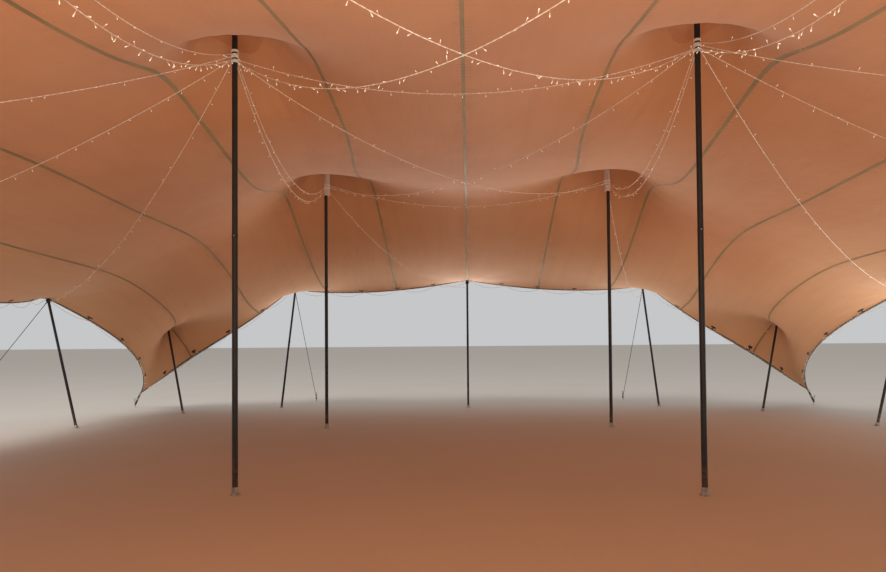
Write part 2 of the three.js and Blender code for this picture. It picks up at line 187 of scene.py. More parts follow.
def sagging(first, second, sag):
    """The path of a string from the skin of one pole to the skin of another: a straight line let down by
    4 * sag * share * (1 - share). Each tie is a place on a pole's axis, with the pole's radius."""
    (start, start_radius), (end, end_radius) = first, second
    start, end = np.array(start, float), np.array(end, float)
    way = unit((end - start) * (1, 1, 0))
    span = np.linalg.norm(end - start)
    fall = (start[2] - end[2]) / span
    start = start + way * (start_radius + SEAT_GAP + WIRE * np.sin(np.arctan(abs(4 * sag / span + fall))))
    end = end - way * (end_radius + SEAT_GAP + WIRE * np.sin(np.arctan(abs(4 * sag / span - fall))))
    share = np.linspace(0, 1, STRING_POINTS)[:, None]
    return start + share * (end - start) - 4 * sag * share * (1 - share) * UP


class Amount:
    """A value, vector or colour in a material. Sums are written on it as in arithmetic, and each adds a
    node."""

    def __init__(self, recipe, socket):
        self.recipe, self.socket = recipe, socket

    def math(self, operation, *values):
        return self.recipe.node("ShaderNodeMath", {"operation": operation}, dict(enumerate(values)))

    def __add__(self, other):
        return self.math("ADD", self, other)

    __radd__ = __add__

    def __sub__(self, other):
        return self.math("SUBTRACT", self, other)

    def __rsub__(self, other):
        return self.math("SUBTRACT", other, self)

    def __mul__(self, other):
        return self.math("MULTIPLY", self, other)

    __rmul__ = __mul__

    def __truediv__(self, other):
        return self.math("DIVIDE", self, other)

    def __rtruediv__(self, other):
        return self.math("DIVIDE", other, self)

    def __abs__(self):
        return self.math("ABSOLUTE", self)

    def sine(self):
        return self.math("SINE", self)

    def fraction(self):
        return self.math("FRACT", self)

    def least(self, other):
        return self.math("MINIMUM", self, other)

    def between(self, low, high):
        """0 below low, 1 above high, and a smooth rise from one to the other."""
        values = {"Value": self, "From Min": low, "From Max": high, "To Min": 0, "To Max": 1}
        return self.recipe.node("ShaderNodeMapRange", {"interpolation_type": "SMOOTHSTEP"}, values)


def linear(colour):
    """A colour as a screen shows it, from 0 to 255, turned into the linear light that a shader works with."""
    screen = np.array(colour) / 255
    light = np.where(screen <= 0.04045, screen / 12.92, ((screen + 0.055) / 1.055) ** 2.4)
    return (*light.tolist(), 1.0)


class Recipe:
    """The node tree of one finish. What is the same all over is set on the shader, and the rest is linked."""

    def __init__(self, name, **constants):
        self.finish = bpy.data.materials.new(name)
        self.finish.use_nodes = True
        self.nodes = self.finish.node_tree.nodes
        self.shader = self.nodes["Principled BSDF"]
        for title, value in constants.items():
            self.shader.inputs[title.replace("_", " ")].default_value = value

    def node(self, kind, settings=None, inputs=None, output=0):
        """Adds a node, makes its settings, and gives its sockets their values or links."""
        made = self.nodes.new(kind)
        for title, value in (settings or {}).items():
            setattr(made, title, value)
        for title, value in (inputs or {}).items():
            if isinstance(value, Amount):
                self.finish.node_tree.links.new(value.socket, made.inputs[title])
            else:
                made.inputs[title].default_value = value
        return Amount(self, made.outputs[output])

    def place(self):
        return self.node("ShaderNodeTexCoord", output="Object")

    def laid(self):
        return self.node("ShaderNodeUVMap", {"uv_map": "laid_flat"})

    def axis(self, vector, k):
        return self.node("ShaderNodeSeparateXYZ", None, {0: vector}, output=k)

    def noise(self, where, scale, detail=2.0, roughness=0.5):
        values = {"Vector": where, "Scale": scale, "Detail": detail, "Roughness": roughness}
        return self.node("ShaderNodeTexNoise", None, values)

    def stretched(self, vector, scale):
        """The place scaled, moved and turned, so that no regular grid of the noise shows on a flat cloth."""
        shift, turn = (0.31, 0.47, 0.37), (0.5, 0.3, 0.2)
        values = {"Vector": vector, "Scale": scale, "Location": shift, "Rotation": turn}
        return self.node("ShaderNodeMapping", None, values)

    def mix(self, share, *colours):
        """The first colour where the share is 0, and the second where it is 1. Each is worked out by nodes or
        given as a screen's red, green and blue."""
        first, second = [one if isinstance(one, Amount) else linear(one) for one in colours]
        return self.node("ShaderNodeMix", {"data_type": "RGBA"}, {0: share, 6: first, 7: second}, output=2)

    def shade(self, **links):
        for title, value in links.items():
            self.finish.node_tree.links.new(value.socket, self.shader.inputs[title.replace("_", " ")])

    def bump(self, height, distance):
        """Raises the surface by the height times the distance, in shading only."""
        self.shade(Normal=self.node("ShaderNodeBump", None, {"Height": height, "Distance": distance}))


lead = Recipe("pale_wire_covering", Roughness=0.42, Specular_IOR_Level=0.5)
dirt = lead.noise(lead.place(), 6.0, 3.0)
lead.shade(Base_Color=lead.mix(dirt.between(0.35, 0.75), (250, 242, 226), (226, 208, 184)))
lead.bump(lead.noise(lead.place(), 900.0), 0.0002)

lamp_glass = Recipe("warm_clear_lamp", Roughness=0.12, Specular_IOR_Level=0.6, Emission_Strength=0.7)
glow = lamp_glass.noise(lamp_glass.place(), 40.0)
lamp_glass.shade(Base_Color=lamp_glass.mix(glow, (255, 250, 236), (236, 222, 190)),
                 Emission_Color=lamp_glass.mix(glow, (255, 247, 226), (255, 236, 200)))

LAMP_PROFILE = np.array([
    [1.1, 0], [1.1, 20], [3.2, 22], [3.4, 33], [2.9, 34], [3.4, 38], [3.2, 44], [1.4, 48],
]) / 1000
LAMP_GLASS_FROM = 4
LAMP_SIDES = 5
LAMP_UNEVEN = 0.3
LAMP_DROOP = 0.6
LAMP_ASIDE = 0.6
COVERING, GLASS = 0, 1
random = np.random.default_rng(11)


def lamps(path, spacing, size):
    """Small turned lamps at uneven steps along a string, each pointing its own way. LAMP_DROOP turns them
    downwards, and LAMP_ASIDE turns them away from the string's own direction."""
    far = length_along(path)[-1]
    count = int(far / spacing)
    at = (np.arange(count) + 0.5 + random.uniform(-LAMP_UNEVEN, LAMP_UNEVEN, count)) * far / count
    foot = np.stack([np.interp(at, length_along(path), path[:, k]) for k in range(3)], axis=1)
    way = random.normal(size=(count, 3))
    way[:, 2] -= LAMP_DROOP
    ahead = unit(path[-1] - path[0])
    way = unit(way - LAMP_ASIDE * (way @ ahead)[:, None] * ahead)
    aside = unit(np.cross(way, ahead))
    up = np.cross(aside, way)
    angle = np.linspace(0, 2 * np.pi, LAMP_SIDES, endpoint=False)
    radius, height = size * LAMP_PROFILE[:, 0], size * LAMP_PROFILE[:, 1]
    ring = np.cos(angle)[:, None] * aside[:, None, None] + np.sin(angle)[:, None] * up[:, None, None]
    heights = height[None, :, None, None] * way[:, None, None]
    rings = foot[:, None, None] + heights + radius[:, None, None] * ring
    shapes = []
    for points in rings:
        shapes.append(grid(points[: LAMP_GLASS_FROM + 1], finish=COVERING))
        shapes.append(grid(points[LAMP_GLASS_FROM:], finish=GLASS))
    return shapes


# For each kind of string: its sag, the distance between its lamps, and their size.
STRINGS = {
    "middle": (0.44, 0.13, 1.0), "across_end": (0.46, 0.2, 1.0), "to_flank": (0.3, 0.24, 1.0),
    "lower_front": (0.8, 0.1, 1.25), "lower_rear": (0.8, 0.25, 0.9), "upper": (0.68, 0.4, 0.8),
    "cross_front": (1.15, 0.12, 1.0), "cross_rear": (0.7, 0.3, 1.0), "to_edge": (0.55, 0.3, 0.9),
    "to_end_left": (0.5, 0.3, 0.9), "to_end_right": (0.85, 0.3, 0.9),
}
# How high each tie is on its pole. CROSSING keeps the two strings that cross in the middle apart.
MIDDLE_TIE, MIDDLE_UPPER_TIE, MIDDLE_EDGE_TIE, CROSSING = 4.87, 4.93, 4.9, 0.02
OUTER_TIE, OUTER_UPPER_TIE, OUTER_END_TIE, OUTER_ACROSS_TIE = 4.75, 4.78, 4.7, 4.8
SIDE_MIDDLE_TIE, SIDE_OUTER_TIE, END_MIDDLE_TIE, END_OUTER_TIE = 2.6, 2.56, 3.05, 2.9
# Where each leaning pole's axis ends.
SIDE_MIDDLE_TOP = np.array([8.53, 0, 2.843])
SIDE_OUTER_TOP = np.array([8.5, 6.1, 2.633])
END_MIDDLE_TOP = np.array([0, 9.883, 3.225])
END_OUTER_TOP = np.array([4.4, 9.883, 3.045])


def lit_lead(name, path, sides, spacing, size):
    """Makes a twisted lead along a path, and its lamps."""
    wire = make_piece(name, twisted(path, WIRE, 2, STRAND_PITCH, sides), lead.finish)
    bulbs = make_piece(f"{name}_lamps", lamps(path, spacing, size), lead.finish, lamp_glass.finish)
    return wire, bulbs


def hang_string(name, kind, first, second, *stands_for):
    """A lit lead that hangs from one part of the tent to another. The frame's parts that it stands for are
    hidden.
    """
    sag, spacing, size = STRINGS[kind]
    path = sagging(first, second, sag)
    wire, bulbs = lit_lead(name, path, 5, spacing, size)
    if stands_for:
        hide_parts(*stands_for)


def on_middle(side, height):
    """A string's tie on the tube of a middle king: its place and the tube's radius."""
    return (side * KING_MIDDLE[0], 0, height), KING_RADIUS


def on_outer(side, end, height):
    """A string's tie on the sleeve of an outer king."""
    return (side * (KING_OUTER[0] - SLEEVE_OFFSET), end * KING_OUTER[1], height), SLEEVE_RADIUS


def on_leaning(side, end, height, foot, top):
    """A string's tie on a leaning pole, where its axis passes that height."""
    share = height / top[2]
    x, y = foot[:2] + share * (top[:2] - foot[:2])
    return (side * x, end * y, height), EDGE_RADIUS


middle_ties = [on_middle(side, MIDDLE_TIE) for side in (-1, 1)]
hang_string("string_middle", "middle", *middle_ties, "light_string_middle")
rear_ties = [on_outer(side, 1, OUTER_ACROSS_TIE) for side in (-1, 1)]
hang_string("string_rear", "across_end", *rear_ties, "light_string_rear")
front_ties = [on_outer(side, -1, OUTER_ACROSS_TIE) for side in (-1, 1)]
hang_string("string_front", "across_end", *front_ties)
for flank, side in FLANKS:
    king = on_middle(side, MIDDLE_TIE)
    pole = on_leaning(side, 1, SIDE_MIDDLE_TIE, SIDE_MIDDLE_FOOT, SIDE_MIDDLE_TOP)
    hang_string(f"string_{flank}", "to_flank", king, pole, f"light_string_{flank}")
    for end_name, end in ENDS:
        name = f"{end_name}_{flank}"
        outer = on_outer(side, end, OUTER_TIE)
        hang_string(f"string_{name}", f"lower_{end_name}", king, outer, f"light_string_{name}")
        upper = on_middle(side, MIDDLE_UPPER_TIE), on_outer(side, end, OUTER_UPPER_TIE)
        hang_string(f"string_{name}_upper", "upper", *upper)
        crossing = on_middle(side, MIDDLE_TIE + side * CROSSING), on_outer(-side, end, OUTER_TIE)
        hang_string(f"string_cross_{name}", f"cross_{end_name}", *crossing, f"light_string_cross_{name}")
        pole = on_leaning(side, end, SIDE_OUTER_TIE, SIDE_OUTER_FOOT, SIDE_OUTER_TOP)
        hang_string(f"string_{name}_edge", "to_edge", on_middle(side, MIDDLE_EDGE_TIE), pole)
        if flank == "left":
            pole = on_leaning(1, end, END_MIDDLE_TIE, END_MIDDLE_FOOT, END_MIDDLE_TOP)
        else:
            pole = on_leaning(1, end, END_OUTER_TIE, END_OUTER_FOOT, END_OUTER_TOP)
        hang_string(f"string_{name}_end", f"to_end_{flank}", on_outer(side, end, OUTER_END_TIE), pole)


# King windings
# The spare end of every lead is wound round the middle kings where the strings are tied, in turns that lie
# beside each other, and round the sleeves of the outer kings. A band is its height and its number of turns.
WOUND_WIRE = 0.0042
WOUND_RISE = 2.3 * WOUND_WIRE
WOUND_STEPS = 14
MIDDLE_BANDS = ((4.83, 4), (4.885, 5), (4.95, 3))
OUTER_BANDS = ((4.735, 3), (4.785, 3))


def winding(centre, radius, low, turns):
    """A helix: with every full turn the height grows by a little more than the wire's width."""
    turn = np.linspace(0, 2 * np.pi * turns, WOUND_STEPS * turns + 1)
    out = (radius + WOUND_WIRE) * np.stack([np.cos(turn), np.sin(turn), 0 * turn], axis=1)
    path = np.array([*centre[:2], low]) + out + np.outer(turn / (2 * np.pi) * WOUND_RISE, UP)
    return tube(path, WOUND_WIRE, 5)


for flank, side in FLANKS:
    centre = KING_MIDDLE * (side, 1, 1)
    bands = [winding(centre, KING_RADIUS, *band) for band in MIDDLE_BANDS]
    wound = make_piece(f"winding_middle_{flank}", bands, lead.finish)
    for end_name, end in ENDS:
        centre = (KING_OUTER - (SLEEVE_OFFSET, 0, 0)) * (side, end, 1)
        bands = [winding(centre, SLEEVE_RADIUS, *band) for band in OUTER_BANDS]
        wound = make_piece(f"winding_{end_name}_{flank}", bands, lead.finish)


# Canopy
# Two-way stretch cloth with a weatherproof coat, ten strips wide, sewn into one sheet and pulled tight over
# the poles. Its form is that of an elastic net at rest, worked out here far finer than in the frame.
COLUMNS, ROWS = 50, 60
COLUMN_STEP, ROW_STEP = 0.172, 10 / 60
STRIP_COLUMNS = 10
KING_COLUMN, KING_ROW = 15, 35
END_COLUMN, SIDE_ROW = 25, 36
CORNER_COLUMN, CORNER_ROW = 40, 55
CLOTH = 0.004
END_MIDDLE = np.array([0, 10, 3.24])
END_OUTER = np.array([4.4, 10, 3.06])
SIDE_MIDDLE = np.array([8.65, 0, 2.85])
SIDE_OUTER = np.array([8.62, 6.1, 2.64])
CORNER_PEAK = np.array([7.45, 9.3, 2.12])
CORNER_TIP = np.array([8.6, 10.25, 0.4])
# Each round cap of cloth that a pole holds: its place, column and row, its radius and how far its edge drops.
CAPS = [
    (KING_MIDDLE, KING_COLUMN, 0, 0.375, 0.05), (KING_OUTER, KING_COLUMN, KING_ROW, 0.375, 0.05),
    (CORNER_PEAK, CORNER_COLUMN, CORNER_ROW, 0.18, 0.02),
    (END_MIDDLE, 0, ROWS, 0.18, 0.015), (END_OUTER, END_COLUMN, ROWS, 0.18, 0.015),
    (SIDE_MIDDLE, COLUMNS, 0, 0.18, 0.015), (SIDE_OUTER, COLUMNS, SIDE_ROW, 0.18, 0.015),
]
# Zones where the cloth is stiffer or softer than elsewhere: their columns, their rows and the factor.
TAUT_ACROSS = [((0, 15), (4, 12), 1.6), ((0, 15), (12, 22), 0.9), ((0, 15), (22, 32), 0.3)]
TAUT_ALONG = [
    ((12, 18), (2, 3), 0.06), ((11, 20), (8, 35), 0.78), ((14, 17), (8, 35), 3.1), ((13, 18), (18, 35), 3.1),
    ((0, 51), (38, 60), 0.64),
]
ALONG = 0.77
HEM_PULL = {"end": 10.1, "side": 38.5, "corner_end": 6.9, "corner_side": 7.0}
HEM_WEIGHT = {"end": 0.055, "side": 0.151, "corner_end": 0.08, "corner_side": 0.078}
SLACK_WEIGHT = 0.0018
SLACK_COLUMNS, SLACK_ROWS = 11.5, 30.5
START_HEIGHT = 3.5
CALM_PASSES = 16


def within(values, limits):
    return (values >= limits[0]) & (values < limits[1])


def settled_net(finer, passes, overshoot, coarser=None):
    """The quarter net, with every link of the frame's net cut into finer ones. Each free knot moves towards
    the place where the pulls of its four neighbours and its weight balance, alternate knots in turn. The last
    passes don't overshoot, which irons out small ripples."""
    i, j = np.meshgrid(np.arange(COLUMNS * finer + 1), np.arange(ROWS * finer + 1), indexing="ij")
    u, v = i / finer, j / finer
    knots = np.stack([u * COLUMN_STEP, v * ROW_STEP, START_HEIGHT + 0 * u])
    if coarser is not None:
        a, b = np.arange(coarser.shape[1]) * 2, np.arange(coarser.shape[2]) * 2
        half = np.stack([[np.interp(i[:, 0], a, line) for line in part.T] for part in coarser])
        knots = np.stack([[np.interp(j[0], b, line) for line in part.T] for part in half])
    held = np.zeros(u.shape, bool)
    for (x, y, z), column, row, radius, drop in CAPS:
        across, ahead = (u - column) * COLUMN_STEP, (v - row) * ROW_STEP
        share = np.hypot(across, ahead) / radius
        on = share <= 1
        knots[:, on] = np.stack([x + across, y + ahead, z - drop * share**2])[:, on]
        held |= on
    knots[:, -1, -1] = CORNER_TIP
    held[-1, -1] = True

    middle_u, middle_v = u + 0.5 / finer, v + 0.5 / finer
    right, ahead = np.ones(u.shape), np.full(u.shape, ALONG)
    for columns, rows, factor in TAUT_ACROSS:
        right[within(middle_u, columns) & within(v + 0.5, rows)] *= factor
    for columns, rows, factor in TAUT_ALONG:
        ahead[within(u + 0.5, columns) & within(middle_v, rows)] *= factor
    corner_end, corner_side = middle_u[:, -1] > END_COLUMN, middle_v[-1] > SIDE_ROW
    right[:, -1] = 0.5 + finer * np.where(corner_end, HEM_PULL["corner_end"], HEM_PULL["end"])
    ahead[-1] = ALONG / 2 + finer * np.where(corner_side, HEM_PULL["corner_side"], HEM_PULL["side"])
    right[-1], ahead[:, -1] = 0, 0
    left, behind = np.zeros(u.shape), np.zeros(u.shape)
    left[1:], behind[:, 1:] = right[:-1], ahead[:, :-1]
    left[0], behind[:, 0] = right[0], ahead[:, 0]
    load = np.zeros((3, *u.shape))
    load[2, (u < SLACK_COLUMNS) & (v < SLACK_ROWS)] = SLACK_WEIGHT / finer**2
    load[2, :, -1] = np.where(u[:, -1] >= END_COLUMN, HEM_WEIGHT["corner_end"], HEM_WEIGHT["end"]) / finer
    load[2, -1] = np.where(v[-1] >= SIDE_ROW, HEM_WEIGHT["corner_side"], HEM_WEIGHT["side"]) / finer

    total = right + left + ahead + behind
    turns = [~held & ((i + j) % 2 == odd) for odd in (0, 1)]
    mirror_u, mirror_v = np.array([[-1], [1], [1]]), np.array([[1], [-1], [1]])
    for step in range(passes):
        push = overshoot if step < passes - CALM_PASSES else 1
        for turn in turns:
            wide = np.pad(knots, ((0, 0), (1, 1), (1, 1)))
            wide[:, 0, 1:-1], wide[:, 1:-1, 0] = mirror_u * knots[:, 1], mirror_v * knots[:, :, 1]
            pulled = right * wide[:, 2:, 1:-1] + left * wide[:, :-2, 1:-1]
            pulled += ahead * wide[:, 1:-1, 2:] + behind * wide[:, 1:-1, :-2]
            knots += push * turn * ((pulled - load) / total - knots)
    return knots


# The net is worked out coarse first, and then twice as fine each time, from the last answer.
FINER = 4
net = settled_net(1, passes=260, overshoot=1.9)
net = settled_net(2, passes=160, overshoot=1.95, coarser=net)
net = settled_net(FINER, passes=160, overshoot=1.97, coarser=net)


def whole(quarter):
    """The quarter and its mirror images, as one net from the front left corner to the rear right."""
    half = np.concatenate([(quarter * np.array([[[-1]], [[1]], [[1]]]))[:, :0:-1], quarter], axis=1)
    full = np.concatenate([(half * np.array([[[1]], [[-1]], [[1]]]))[:, :, :0:-1], half], axis=2)
    return np.moveaxis(full, 0, -1)


def normals_of(knots):
    return unit(np.cross(np.gradient(knots, axis=0), np.gradient(knots, axis=1)))


cloth = whole(net)
across, along = np.meshgrid(np.arange(-COLUMNS * FINER, COLUMNS * FINER + 1) / FINER,
                            np.arange(-ROWS * FINER, ROWS * FINER + 1) / FINER, indexing="ij")


def distance_on_cloth(column, row):
    """How far each knot lay from a place on the flat cloth, in metres."""
    return np.hypot((across - column) * COLUMN_STEP, (along - row) * ROW_STEP)


def softened(knots, share, passes):
    """Each knot moved towards the middle of its four neighbours, by its share, several times over."""
    for _ in range(passes):
        inner = (knots[2:, 1:-1] + knots[:-2, 1:-1] + knots[1:-1, 2:] + knots[1:-1, :-2]) / 4
        knots[1:-1, 1:-1] += share[1:-1, 1:-1, None] * (inner - knots[1:-1, 1:-1])
    return knots


# Round each king the cloth is softened in a ring, so that it leaves the cap without a crease.
RING_INSIDE, RING_RISE = 0.16, 0.12
RING_OUTSIDE, RING_FALL = 0.8, 0.3
KINGS = [(side * KING_COLUMN, end * KING_ROW) for side in (-1, 1) for end in (-1, 0, 1)]
ring = np.zeros(across.shape)
for column, row in KINGS:
    away = distance_on_cloth(column, row)
    inner = np.clip((away - RING_INSIDE) / RING_RISE, 0, 1)
    outer = np.clip((RING_OUTSIDE - away) / RING_FALL, 0, 1)
    ring = np.maximum(ring, inner * outer)
cloth = softened(cloth, ring, passes=12)


# Folds: the cloth puckers a little in rays from every pole and gathers in deep pleats towards each corner.
FOLD_START = 0.35
REAR_POLES = [(0, ROWS), (END_COLUMN, ROWS), (-END_COLUMN, ROWS)]
RIGHT_POLES = [(COLUMNS, 0), (COLUMNS, SIDE_ROW), (COLUMNS, -SIDE_ROW)]
EDGE_POLES = REAR_POLES + RIGHT_POLES + [(-column, -row) for column, row in REAR_POLES + RIGHT_POLES]


def rays(column, row, count, reach, height, phase):
    """Folds that run out from one place: height * sine(count * angle + phase), fading over the reach."""
    away = distance_on_cloth(column, row)
    angle = np.arctan2((along - row) * ROW_STEP, (across - column) * COLUMN_STEP)
    fade = np.clip(away / FOLD_START, 0, 1) ** 2 * np.exp(-((away / reach) ** 2))
    return height * fade * np.sin(count * angle + phase + 0.8 * np.sin(3 * angle + 2 * phase))


fold = np.zeros(across.shape)
for k, (column, row) in enumerate(KINGS):
    fold += rays(column, row, count=17 + k % 3, reach=1.1, height=0.004, phase=1.7 * k)
for k, (column, row) in enumerate(EDGE_POLES):
    fold += rays(column, row, count=14, reach=0.9, height=0.007, phase=2.3 * k)
for k, (side, end) in enumerate([(-1, -1), (-1, 1), (1, -1), (1, 1)]):
    fold += rays(side * COLUMNS, end * ROWS, count=34, reach=0.75, height=0.018, phase=1.1 * k)
    fold += rays(side * CORNER_COLUMN, end * CORNER_ROW, count=11, reach=0.8, height=0.008, phase=0.9 * k)
cloth += fold[..., None] * normals_of(cloth)
cloth_both = np.concatenate([cloth, normals_of(cloth)], axis=2)


def on_cloth(column, row):
    """The cloth's place and upward normal at any column and row, between the four knots around it."""
    a, b = np.broadcast_arrays(np.asarray(column, float), np.asarray(row, float))
    a, b = (a + COLUMNS) * FINER, (b + ROWS) * FINER
    i = np.clip(np.floor(a).astype(int), 0, cloth.shape[0] - 2)
    j = np.clip(np.floor(b).astype(int), 0, cloth.shape[1] - 2)
    s, t = (a - i)[..., None], (b - j)[..., None]
    near, far = [(1 - s) * cloth_both[i, k] + s * cloth_both[i + 1, k] for k in (j, j + 1)]
    blended = (1 - t) * near + t * far
    return blended[..., :3], unit(blended[..., 3:])


def lines(last, count, closer):
    """Line places from -last to last, closest together near the listed places. Each of those is a place, how
    much closer the lines are there, and how wide that zone is."""
    at = np.linspace(0, last, 2001)
    need = 1 + sum(extra * np.exp(-(((at - place) / width) ** 2)) for place, extra, width in closer)
    far = np.concatenate([[0], np.cumsum((need[1:] + need[:-1]) / 2)])
    half = np.interp(np.linspace(0, far[-1], count + 1), far, at)
    return np.concatenate([-half[:0:-1], half])


columns = lines(COLUMNS, 97, [(KING_COLUMN, 2.2, 3), (COLUMNS, 1.6, 3), (CORNER_COLUMN, 0.8, 3)])
rows = lines(ROWS, 117, [(0, 2.0, 3), (KING_ROW, 2.0, 3), (ROWS, 1.6, 3), (SIDE_ROW, 0.4, 3)])
points, _ = on_cloth(columns[:, None], rows[None, :])
flat_columns, flat_rows = columns * COLUMN_STEP, rows * ROW_STEP

canvas = Recipe("terracotta_stretch_cloth", Sheen_Weight=0.1, Sheen_Roughness=0.5, Specular_IOR_Level=0.15)
laid = canvas.laid()
far_along, far_across = canvas.axis(laid, 0), canvas.axis(laid, 1)
mottle = canvas.noise(laid, 0.55, 4.0, 0.55)
streak = canvas.noise(canvas.stretched(laid, (0.35, 5.0, 1.0)), 1.0, 3.0)
speckle = canvas.noise(canvas.stretched(laid, (21.0, 21.0, 21.0)), 1.0, 2.0, 0.7)
warm = canvas.mix(mottle.between(0.3, 0.75), (209, 149, 105), (201, 140, 97))
# Painted light: within four metres of the hem the cloth is mixed towards a pale tan, for the daylight that
# comes in at the openings.
from_hem = (COLUMNS * COLUMN_STEP - abs(far_across)).least(ROWS * ROW_STEP - abs(far_along))
warm = canvas.mix((1 - from_hem.between(0.0, 4.0)) * 0.5, warm, (232, 192, 152))
warm = canvas.mix(streak.between(0.45, 0.8) * 0.12, warm, (182, 120, 82))
strip = STRIP_COLUMNS * COLUMN_STEP
seam_off = abs((far_across / strip + 0.5).fraction() - 0.5) * strip
# Blotches within about twenty centimetres of each seam are mixed towards a darker brown.
darker_near_seams = (1 - seam_off.between(0.02, 0.22)) * canvas.noise(laid, 3.0, 3.0).between(0.35, 0.8)
warm = canvas.mix(darker_near_seams * 0.22, warm, (150, 104, 72))
warm = canvas.mix(speckle.between(0.55, 0.85) * 0.08, warm, (150, 96, 66))
canvas.shade(Base_Color=warm, Roughness=0.74 + 0.1 * mottle)
puckers = (1 - seam_off.between(0.03, 0.12)) * (far_along * 95.0 + 6.0 * mottle).sine()
creases = canvas.noise(canvas.stretched(laid, (1.0, 2.6, 1.0)), 1.6, 5.0, 0.6)
dimples = canvas.noise(canvas.stretched(laid, (9.0, 9.0, 9.0)), 1.0, 3.0)
canvas.bump(0.5 * puckers + 4.0 * creases + 0.5 * dimples, 0.0025)

canopy = make_piece("canopy_cloth", [grid(points, flat_columns, flat_rows, closed=False)], canvas.finish)
thickness = canopy.modifiers.new("cloth thickness", "SOLIDIFY")
thickness.thickness = CLOTH
thickness.offset = 0
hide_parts(*[f"canopy_strip_{number}" for number in range(1, 11)])


# Seam tapes
# Grey-green tape, four centimetres wide, bonded along the underside of each of the nine seams. On top
# of the cloth each seam shows as a narrow welt where the strips overlap.
TAPE_WIDTH, TAPE_FACES = 0.042, (0.0024, 0.0036)
WELT_WIDTH, WELT_FACES = 0.03, (-0.0024, -0.0042)


def layer(column, row, near, far):
    """A thin closed band that lies against the cloth. Column and row are grids whose rows run along the band,
    and near and far, its two faces, are how deep each lies below the middle of the cloth."""
    points, normals = on_cloth(column, row)
    ring = np.concatenate([points - near * normals, (points - far * normals)[:, ::-1]], axis=1)
    across_it = np.linalg.norm(np.diff(ring[len(ring) // 2], axis=0), axis=1)
    across_it = np.concatenate([[0], np.cumsum(across_it), [across_it.sum() + far - near]])
    return grid(ring, length_along(points[:, 0]), across_it)


tape = Recipe("grey_green_seam_tape", Roughness=0.62, Specular_IOR_Level=0.3)
tape_laid = tape.laid()
tape_mottle = tape.noise(tape.stretched(tape_laid, (6.0, 1.2, 1.0)), 1.5, 3.0)
tape.shade(Base_Color=tape.mix(tape_mottle.between(0.3, 0.75), (166, 140, 98), (142, 119, 82)))
tape_threads = (tape.axis(tape_laid, 0) * 1600.0).sine() * (tape.axis(tape_laid, 1) * 1300.0).sine()
tape.bump(0.3 * tape_threads + tape.noise(tape_laid, 25.0), 0.0012)

seam_rows = lines(ROWS, 150, [(0, 2.0, 3), (KING_ROW, 2.0, 3), (ROWS, 1.5, 3)])[:, None]
across_tape = np.linspace(-0.5, 0.5, 5)[None] / COLUMN_STEP
tape_shapes, welt_shapes = [], []
for seam in range(STRIP_COLUMNS - COLUMNS, COLUMNS, STRIP_COLUMNS):
    tape_shapes.append(layer(seam + TAPE_WIDTH * across_tape, seam_rows, *TAPE_FACES))
    welt_shapes.append(layer(seam + WELT_WIDTH * across_tape[:, ::2], seam_rows, *WELT_FACES))
tapes = make_piece("seam_tapes", tape_shapes, tape.finish)
welts = make_piece("seam_welts", welt_shapes, canvas.finish)


# King patches
# A round second layer of the same cloth, sewn on under each king's head, where the cloth would wear through.
PATCH_HOLE, PATCH_RADIUS, PATCH_FACES = 0.112, 0.33, (0.0022, 0.0034)
patch_cloth = Recipe("doubled_cloth", Roughness=0.8, Sheen_Weight=0.2)
patch_laid = patch_cloth.laid()
rub = patch_cloth.noise(patch_laid, 4.0, 4.0).between(0.3, 0.75)
# Painted shade, in part: the patch is a little darker than the canopy, partly for the second layer and partly
# for the shade round each king's head.
patch_cloth.shade(Base_Color=patch_cloth.mix(rub, (198, 131, 84), (186, 121, 77)))
stitches = (patch_cloth.axis(patch_laid, 1) * 900.0).sine()
patch_cloth.bump(0.4 * stitches + patch_cloth.noise(patch_laid, 60.0), 0.001)

turn = np.linspace(0, 2 * np.pi, 57)[:, None]
reach = np.linspace(PATCH_HOLE, PATCH_RADIUS, 6)[None]
out_across, out_along = reach * np.cos(turn) / COLUMN_STEP, reach * np.sin(turn) / ROW_STEP
patch_shapes = [layer(column + out_across, row + out_along, *PATCH_FACES) for column, row in KINGS]
patches = make_piece("king_patches", patch_shapes, patch_cloth.finish)


# Hem
# Black webbing folded over the edge of the cloth and sewn through, with a rope inside the fold. Every metre
# or so a dark webbing tab is sewn on inside the hem, and a narrow strap ties it to the hem rope.
HEM_BAND, HEM_FACES = 0.042, (0.002, 0.0038)
HEM_ROPE = 0.009
TAB_SPACING = 0.95
TAB_HALF, TAB_NEAR, TAB_FAR = 0.052, 0.095, 0.148
TAB_ROUNDING, TAB_FACES = 0.22, (0.0023, 0.0062)
STRAP_HALF, STRAP_NEAR, STRAP_FAR = 0.012, -0.004, 0.12
STRAP_FACES = (0.0023, 0.0052)
webbing = Recipe("black_webbing", Roughness=0.75, Sheen_Weight=0.3, Specular_IOR_Level=0.3)
webbing_laid = webbing.laid()
ribs = (webbing.axis(webbing_laid, 1) * 1800.0).sine() * (webbing.axis(webbing_laid, 0) * 900.0).sine()
dust = webbing.noise(webbing.place(), 5.0, 4.0)
webbing.shade(Base_Color=webbing.mix(dust.between(0.35, 0.85), (30, 29, 30), (66, 59, 53)))
webbing.bump(ribs, 0.0009)

along_edge, same = np.linspace(-1, 1, 381), np.ones(381)
EDGES = {
    "front": (along_edge * COLUMNS, -same * ROWS, (0, 1)),
    "rear": (along_edge * COLUMNS, same * ROWS, (0, -1)),
    "left": (-same * COLUMNS, along_edge * ROWS, (1, 0)),
    "right": (same * COLUMNS, along_edge * ROWS, (-1, 0)),
}
END_STATIONS = [-COLUMNS, -END_COLUMN, 0, END_COLUMN, COLUMNS]
SIDE_STATIONS = [-ROWS, -SIDE_ROW, 0, SIDE_ROW, ROWS]
